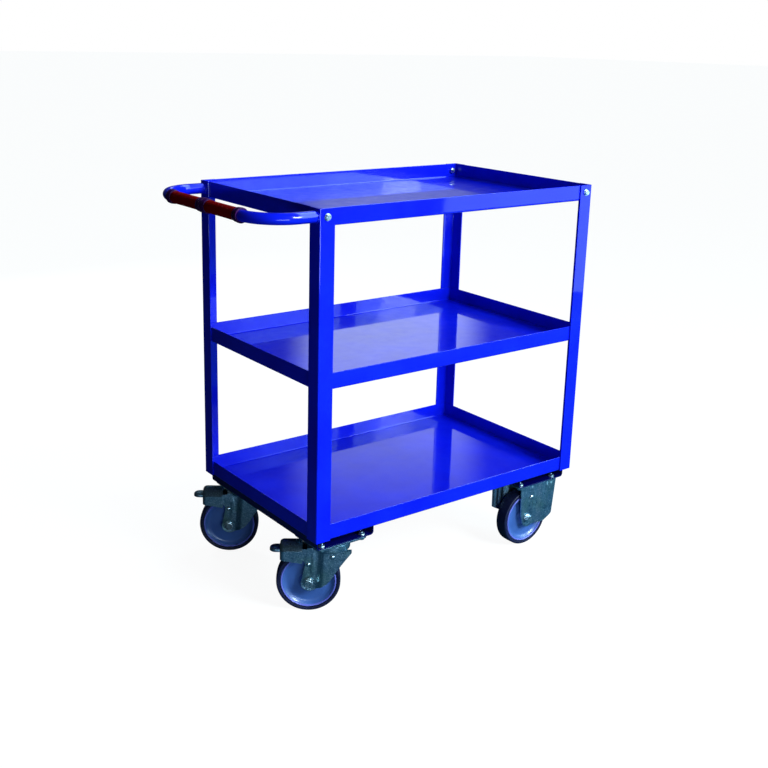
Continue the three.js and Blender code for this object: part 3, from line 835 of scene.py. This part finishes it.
def make_fork(prefix):
    """Two pressed legs under a crown and the cup that holds the swivel's balls."""
    place, body = caster_place(prefix), f"{prefix}_swivel"
    parts = []
    for side in (1, -1):
        sheet = pressed_sheet(leg_outline(), leg_relief(side))
        leg = raw_object("leg", sheet, place)
        parts.append(thickened(leg, LEG_STEEL))
    z = HEAD_FLOOR
    pin = KING_PIN_HOLE
    cup = [(pin, z), (42, z), *arc((43, z + 3), 3, -90, 0, 5), (46, z + 15.6), (45.4, z + 17)]
    cup += [(43.6, z + 17), (43, z + 16.4), (43, z + 4.6), (42.2, z + 4), (pin, z + 4)]
    head = moved(upright(lathe(cup, 96, closed=True)), Matrix.Translation((TRAIL, 0, 0)))
    parts.append(raw_object("head", head, place))
    crown = [(-3, -22.5), (16, -22.5), (24, -25), (34, -30), (60, -31), (60, 31), (34, 30), (24, 25)]
    crown += [(16, 22.5), (-3, 22.5)]
    parts.append(raw_object("crown", prism(crown, z - 0.3, z + 3.6, "Z"), place))
    fork = united(f"{prefix}_fork_pressing", parts)
    finished(fork, ZINC_SHEET, body, [f"{prefix}_fork"], rounding=0.35, smooth=38)
    make_rivets(prefix, place, body)
    make_axle(prefix, body)
    dress_node(f"{prefix}_ball_ring", ZINC_BOLT)


def rivet_head(radius, height):
    """Low dome along +Y."""
    dome = [(radius * math.cos(a), height * math.sin(a)) for a in (i * math.pi / 16 for i in range(8))]
    return lathe([(0, -1), (radius, -1), *dome, (0, height)], 40)


def make_rivets(prefix, place, body):
    """Pedal pivots, and the two rivets that tie each leg to the swivel head."""
    face = LEG_INNER + LEG_STEEL
    for name, side in (("a", -1), ("b", 1)):
        turn = Matrix.Rotation(0 if side > 0 else math.pi, 4, "Z")
        x, z = PEDAL_PIVOT
        pivot = place @ Matrix.Translation((x, side * (face + 0.6), z)) @ turn
        piece(f"{prefix}_pivot_{name}", rivet_head(5.2, 3.0), ZINC_BOLT, body,
              [f"{prefix}_pedal_rivet_{name}"], pivot, rounding=0)
        x, z = STOP_RIVET
        high = place @ Matrix.Translation((x, side * (face + LEG_STEP + 0.2), z)) @ turn
        piece(f"{prefix}_stop_{name}", rivet_head(5.6, 3.4), ZINC_BOLT, body,
              matrix=high, rounding=0)


HOOD_BACK, HOOD_FRONT = -66.0, -14.0
HOOD_HALF_WIDTH, HOOD_STEEL = 26.0, 2.0
HOOD_SHOULDER, HOOD_CROWN = 79.0, 20.0
HOOD_SKIRT, HOOD_END_SKIRT = 49.0, 57.0
HOOD_SECTIONS = (0, 0.3, 1, 2, 3.5, 5.5, 8, 11, 15, 21, 28, 35, 42)
TOE_HALF_WIDTH, TOE_REACH, TOE_TOP = 15.0, 24.0, 82.0


def rounded_end(t, radius):
    """How far a rounded end is drawn in at a distance t from it."""
    return radius - math.sqrt(max(0.0, radius ** 2 - max(0.0, radius - t) ** 2))


def hood_block(inset, end, drop):
    """Closed block with straight sides, a crowned top and a rounded back. inset draws its surface in."""
    rings = []
    start = HOOD_BACK + inset
    for t in (*HOOD_SECTIONS, end - start):
        width = HOOD_HALF_WIDTH - inset - rounded_end(t, 8)
        crown = HOOD_CROWN - inset / 2 - 0.8 * rounded_end(t, 11)
        shoulder = HOOD_SHOULDER - inset / 2
        skirt = HOOD_END_SKIRT + (HOOD_SKIRT - HOOD_END_SKIRT) * t / (HOOD_FRONT - HOOD_BACK) - drop
        ring = [(start + t, -width, skirt)]
        for i in range(25):
            across = math.cos(math.pi * i / 24)
            ring.append((start + t, -width * across, shoulder + crown * (1 - abs(across) ** 1.9)))
        rings.append([*ring, (start + t, width, skirt)])
    return loft(rings)


def toe_block(inset):
    """Tongue with a round end, whose edge rolls down all round. inset draws its surface in."""
    rings = []
    tip = TOE_HALF_WIDTH - TOE_REACH
    for draw_in, z in ((0, -9 - inset), (0, -4.6), (0.9, -2.2), (2.6, -0.7), (5, 0)):
        w = TOE_HALF_WIDTH - inset - draw_in
        outline = [(1 + inset, -w), (1 + inset, w), *arc((tip, 0), w, 90, 270, 20)]
        rings.append([(a, b, z - inset) for a, b in outline])
    return loft(rings)


def make_pedal(prefix):
    """Hooded foot pedal: crowned pressing over the wheel, two arms to the pivot and a toe."""
    place, body = caster_place(prefix), f"{prefix}_brake"
    hood = raw_object("hood", hood_block(0, HOOD_FRONT, 0), place)
    cut_away(hood, raw_object("hollow", hood_block(HOOD_STEEL, HOOD_FRONT + 5, 12), place))
    parts = [hood]
    x, z = PEDAL_PIVOT
    inner, outer = LEG_INNER - 2.3, LEG_INNER - 0.4
    arm = [(-15, 57), (-15, 83), (-4, 83), (7, 55), *arc((x, z), 9, 30, -130, 10), (-9, 50)]
    for side in (1, -1):
        y0, y1 = sorted((side * inner, side * outer))
        parts.append(raw_object("arm", prism(arm, y0, y1, "Y"), place))
        y0, y1 = sorted((side * inner, side * (HOOD_HALF_WIDTH - 1)))
        web = [(-16, y0), (-14, y0), (-14, y1), (-16, y1)]
        parts.append(raw_object("web", prism(web, 57, 82, "Z"), place))
    toe_place = place @ Matrix.Translation((HOOD_BACK, 0, TOE_TOP))
    toe = raw_object("toe", toe_block(0), toe_place)
    cut_away(toe, raw_object("hollow", toe_block(HOOD_STEEL), toe_place))
    parts.append(toe)
    for a in (-7, -13):
        ridge = [(a - 1.2, -7), (a + 1.2, -7), (a + 1.2, 7), (a - 1.2, 7)]
        parts.append(raw_object("ridge", prism(ridge, -1, 0.9, "Z"), toe_place))
    pedal = united(f"{prefix}_pedal_pressing", parts)
    finished(pedal, ZINC_SHEET, body, [f"{prefix}_brake_pedal"], rounding=0.4, smooth=40)
    make_shoe(prefix, place, body)


SHOE_BACK, SHOE_FRONT = -54, -33
SHOE_TOP, SHOE_HALF_WIDTH = 92.4, 10.8
SHOE_CURVE = 79.3


def make_shoe(prefix, place, body):
    """Rubber block under the hood, curved to the tread and grooved across."""
    outline = [(SHOE_FRONT, SHOE_TOP), (SHOE_FRONT, 72.2)]
    steps = 12
    for i in range(steps + 1):
        x = SHOE_FRONT - 1 + (SHOE_BACK - SHOE_FRONT + 2) * i / steps
        tread = math.sqrt(SHOE_CURVE ** 2 - x ** 2)
        groove = 1.2 if i in (3, 6, 9) else 0
        outline.append((x, tread + groove + 0.02 * i))
    outline += [(SHOE_BACK, 59.8), (SHOE_BACK, SHOE_TOP)]
    block = prism(outline, -SHOE_HALF_WIDTH, SHOE_HALF_WIDTH, "Y")
    piece(f"{prefix}_shoe_block", block, SHOE, body, [f"{prefix}_brake_shoe"], place)


PLATE_BOTTOM = box("rear_right_caster_plate")[0].z
CHANNEL_FLOOR = box("caster_channel_rear")[0].z + CHANNEL_STEEL
SCREW_ALONG, SCREW_ACROSS = 56, 44


def make_plate_screws(prefix, node):
    """Four screws hold each caster to its channel: heads under the plate, nuts inside the channel."""
    low, high = box(node)
    middle = (low + high) / 2
    if prefix in FIXED_CASTERS:
        middle = Vector(joint(f"{prefix}_wheel_spin")["pos_m"]) / MM
    turn_down = Matrix.Rotation(-math.pi / 2, 4, "X")
    turn_up = Matrix.Rotation(math.pi / 2, 4, "X")
    screw = hexagon_bolt(7.0, 5.4, washer_radius=8.2, washer=1.3)
    washer = lathe([(0, 0), (8.0, 0), (8.4, 0.3), (8.4, 1.2), (8.0, 1.5), (0, 1.5)], 48)
    nut = joined(hexagon_nut(7.4, 6.6, bolt_radius=4.0, proud=2.4), washer)
    for i, (a, b) in enumerate(CORNERS.values()):
        x, y = middle.x + a * SCREW_ALONG, middle.y + b * SCREW_ACROSS
        below = Matrix.Translation((x, y, PLATE_BOTTOM)) @ turn_down
        piece(f"{prefix}_plate_screw_{i}", screw, ZINC_SHEET, CART,
              matrix=below, rounding=0, smooth=30)
        above = Matrix.Translation((x, y, CHANNEL_FLOOR)) @ turn_up
        piece(f"{prefix}_plate_nut_{i}", nut, ZINC_BOLT, CART,
              matrix=above, rounding=0, smooth=30)


# ---------------------------------------------------------------- fixed caster
PLATE_HALF_LENGTH, PLATE_HALF_WIDTH, PLATE_CORNER, PLATE_STEEL = 67.5, 55, 12, 4
CHEEK_STEP = 8.0
CHEEK_RIBS, RIB_HEIGHT = (10, 58, 73), 2.2
CHEEK_RIVET = (10, 58)


def cheek_outline(corner, low_reach, top_reach, top):
    """Side view of a cheek, from the axle. Its front edge drops from top_reach to low_reach at corner."""
    points = [(-29, top), (-27, 40), (-24, 10), (-20, -4)]
    points += arc((1, -3), 20.5, 184, 300, 14)
    points += [(low_reach - 26, corner - 15), (low_reach - 3, corner - 2.5), (low_reach, corner + 1.5)]
    points += [((low_reach + top_reach) / 2, (corner + top) / 2), (top_reach, top)]
    return points


def cheek_relief(a, b):
    """Steps outward beyond the wheel's middle, with upright ribs and a dished axle boss."""
    out = LEG_INNER + LEG_STEEL / 2
    out += CHEEK_STEP * smooth_step(a, 27, 43)
    out -= BOSS_DISH * (1 - smooth_step(math.hypot(a - 1, b), 13, 17))
    for middle in CHEEK_RIBS:
        rib = 1 - smooth_step(abs(a - middle), 2, 6)
        out += RIB_HEIGHT * rib * smooth_step(b, 16, 30) * (1 - smooth_step(b, 84, 96))
    return -out


def make_bracket(prefix):
    """Top plate with a seat and two pressed cheeks, which face opposite ways."""
    place = caster_place(prefix)
    top = PLATE_BOTTOM - WHEEL_RADIUS
    length, width = PLATE_HALF_LENGTH, PLATE_HALF_WIDTH
    corners = rounded_rectangle(-length, length, -width, width, PLATE_CORNER, 0)
    plate = prism([(x, y) for x, y, _ in corners], top, top + PLATE_STEEL, "Z")
    parts = [raw_object("plate", plate, place)]
    half_turn = Matrix.Rotation(math.pi, 4, "Z")
    for turn, outline in (
        (Matrix.Identity(4), cheek_outline(corner=0, low_reach=80, top_reach=91, top=top + 0.3)),
        (half_turn, cheek_outline(corner=33, low_reach=78, top_reach=80, top=top + 0.3)),
    ):
        sheet = pressed_sheet(outline, cheek_relief)
        parts.append(thickened(raw_object("cheek", sheet, place @ turn), LEG_STEEL))
    seat = [(-60, -22), (-44, -34), (66, -34), (66, 22), (44, 34), (-60, 34)]
    parts.append(raw_object("seat", prism(seat, top - 3.2, top + 0.4, "Z"), place))
    bracket = united(f"{prefix}_bracket_pressing", parts)
    finished(bracket, ZINC_SHEET, CART, [f"{prefix}_caster_bracket"], rounding=0.35,
             smooth=38)
    for name, side in (("a", 1), ("b", -1)):
        turn = half_turn if side > 0 else Matrix.Identity(4)
        (x, z), y = CHEEK_RIVET, LEG_INNER + LEG_STEEL + 1.2
        spot = place @ turn @ Matrix.Translation((x, -y, z)) @ half_turn
        piece(f"{prefix}_cheek_rivet_{name}", rivet_head(6.5, 3.2), ZINC_BOLT, CART,
              matrix=spot, rounding=0)
    make_axle(prefix, CART)


# ---------------------------------------------------------------- stage
FLOOR_HALF_SIZE = 60.0
# In metres: name, place, target, size, watts, colour, and whether shiny paint shows its reflection.
LIGHTS = (
    ("key", (0.85, -3.2, 2.45), (0.05, 0, 0.5), (1.3, 1.3), 205, (0.8, 0.97, 1.0), True),
    ("fill", (-1.1, -2.6, 0.45), (-0.3, -0.2, 0.12), (1.4, 0.5), 26, (0.7, 0.88, 1.0), True),
    ("rear_fill", (0.0, 3.2, 1.6), (0, 0, 0.5), (1.6, 1.6), 60, (0.9, 0.95, 1.0), False),
    ("panel", (2.3, -2.0, 0.9), (0.1, 0, 0.6), (1.2, 1.6), 14, (0.55, 0.85, 1.0), True),
    ("strip", (2.3, -2.3, 1.9), (0.1, 0, 0.7), (0.22, 1.8), 14, (0.8, 0.95, 1.0), True),
)


def make_stage():
    """Floor, world and soft boxes, in metres."""
    mesh = bpy.data.meshes.new("floor")
    size = FLOOR_HALF_SIZE
    square = [(-size, -size, 0), (size, -size, 0), (size, size, 0), (-size, size, 0)]
    mesh.from_pydata(square, [], [(0, 1, 2, 3)])
    floor = bpy.data.objects.new("floor", mesh)
    scene.collection.objects.link(floor)
    mesh.materials.append(floor_material())
    make_world()
    for light in LIGHTS:
        add_light(*light)


def floor_material():
    """Nearly white to the eye, but dark where the object mirrors it."""
    n = Nodes("floor")
    tree = n.tree
    # painted light: the floor seen in reflections and bounce light is lighter toward the key light and
    # nearly black behind the object
    toward_light = n.ranged(n.along((0.6, -0.8, 0)), -0.9, 0.9, 0, 1)
    tint = n.mixed(toward_light, (0.01, 0.012, 0.016), (0.03, 0.11, 0.17))
    n.set(Base_Color=tint, Roughness=0.9, Specular_IOR_Level=0.0)
    white = tree.nodes.new("ShaderNodeBsdfDiffuse")
    white.inputs["Color"].default_value = (0.1, 0.1, 0.1, 1)
    glow = tree.nodes.new("ShaderNodeEmission")
    glow.inputs["Strength"].default_value = 0.93
    seen = tree.nodes.new("ShaderNodeAddShader")
    tree.links.new(white.outputs[0], seen.inputs[0])
    tree.links.new(glow.outputs[0], seen.inputs[1])
    choice = tree.nodes.new("ShaderNodeMixShader")
    tree.links.new(tree.nodes.new("ShaderNodeLightPath").outputs["Is Camera Ray"], choice.inputs[0])
    tree.links.new(n.shader.outputs[0], choice.inputs[1])
    tree.links.new(seen.outputs[0], choice.inputs[2])
    tree.links.new(choice.outputs[0], tree.nodes["Material Output"].inputs["Surface"])
    return n.material


AHEAD, TO_THE_RIGHT = (0.599, 0.8008, 0), (0.8008, -0.599, 0)
ARCH_X, ARCH_STRENGTH = 0.58, 6.0
AMBIENT = 0.03


def make_world():
    """Brightest toward the front left, with a bright arch overhead; plain white behind the object."""
    world = bpy.data.worlds.new("world")
    scene.world = world
    world.use_nodes = True
    tree = world.node_tree
    direction = tree.nodes.new("ShaderNodeTexCoord").outputs["Generated"]

    def math_node(operation, a, b):
        node = tree.nodes.new("ShaderNodeMath")
        node.operation = operation
        for socket, value in zip(node.inputs, (a, b)):
            if isinstance(value, bpy.types.NodeSocket):
                tree.links.new(value, socket)
            else:
                socket.default_value = value
        return node.outputs[0]

    def eased(value, low, high, to_low, to_high):
        node = tree.nodes.new("ShaderNodeMapRange")
        node.interpolation_type = "SMOOTHSTEP"
        for name, number in (("From Min", low), ("From Max", high), ("To Min", to_low), ("To Max", to_high)):
            node.inputs[name].default_value = number
        tree.links.new(value, node.inputs["Value"])
        return node.outputs["Result"]

    def share_along(vector):
        node = tree.nodes.new("ShaderNodeVectorMath")
        node.operation = "DOT_PRODUCT"
        node.inputs[1].default_value = vector
        tree.links.new(direction, node.inputs[0])
        return node.outputs["Value"]

    parts = tree.nodes.new("ShaderNodeSeparateXYZ")
    tree.links.new(direction, parts.inputs[0])
    across, height = share_along(TO_THE_RIGHT), parts.outputs["Z"]
    backdrop = eased(share_along(AHEAD), 0.5, 0.7, 0, 1.6)
    for window in (
        eased(across, -0.075, -0.03, 0, 1), eased(across, 0.08, 0.12, 1, 0),
        eased(height, 0.11, 0.27, 0.1, 1), eased(height, 0.30, 0.46, 1, 0.1),
    ):
        backdrop = math_node("MULTIPLY", backdrop, window)
    backdrop = math_node("ADD", backdrop, AMBIENT)
    off_arch = math_node("ABSOLUTE", math_node("SUBTRACT", parts.outputs["X"], ARCH_X), 0)
    above_side = eased(share_along((0, -0.6, 1)), 0.42, 0.55, 0, 1)
    arch = math_node("MULTIPLY", eased(off_arch, 0.08, 0.13, ARCH_STRENGTH, 0), above_side)
    colours = ((backdrop, (0.8, 0.92, 1.0, 1)), (arch, (0.55, 0.9, 1.0, 1)))
    glows = []
    for strength, colour in colours:
        glow = tree.nodes.new("ShaderNodeBackground")
        glow.inputs["Color"].default_value = colour
        tree.links.new(strength, glow.inputs["Strength"])
        glows.append(glow.outputs[0])
    both = tree.nodes.new("ShaderNodeAddShader")
    tree.links.new(glows[0], both.inputs[0])
    tree.links.new(glows[1], both.inputs[1])
    plain = tree.nodes["Background"]
    plain.inputs["Color"].default_value = (1, 1, 1, 1)
    choice = tree.nodes.new("ShaderNodeMixShader")
    tree.links.new(tree.nodes.new("ShaderNodeLightPath").outputs["Is Camera Ray"], choice.inputs[0])
    tree.links.new(both.outputs[0], choice.inputs[1])
    tree.links.new(plain.outputs[0], choice.inputs[2])
    tree.links.new(choice.outputs[0], tree.nodes["World Output"].inputs["Surface"])


def add_light(name, place, target, size, power, colour, mirrored):
    """A soft box that faces its target."""
    data = bpy.data.lights.new(name, "AREA")
    data.shape = "RECTANGLE"
    data.size, data.size_y = size
    data.energy = power
    data.color = colour
    light = bpy.data.objects.new(name, data)
    scene.collection.objects.link(light)
    light.location = place
    light.visible_glossy = mirrored
    light.rotation_mode = "QUATERNION"
    light.rotation_quaternion = (Vector(target) - Vector(place)).to_track_quat("-Z", "Y")


# ---------------------------------------------------------------- assembly
make_camera()
for corner in CORNERS:
    make_post(corner)
    make_corner_fastener(corner)
for tray in ("top_tray", "middle_tray", "bottom_tray"):
    make_tray(tray)
for channel in ("caster_channel_rear", "caster_channel_front"):
    make_channel(channel)
make_handle()
make_grip("grip_left")
make_grip("grip_right")
for prefix in SWIVEL_CASTERS + FIXED_CASTERS:
    make_wheel(prefix)
for prefix in SWIVEL_CASTERS:
    make_fork(prefix)
    make_pedal(prefix)
    make_plate_screws(prefix, f"{prefix}_caster_plate")
    for part in ("caster_plate", "upper_race"):
        dress_node(f"{prefix}_{part}", ZINC_SHEET)
    dress_node(f"{prefix}_king_pin", ZINC_BOLT)
for prefix in FIXED_CASTERS:
    make_bracket(prefix)
    make_plate_screws(prefix, f"{prefix}_caster_bracket")
make_stage()
scene.view_settings.view_transform = "Standard"
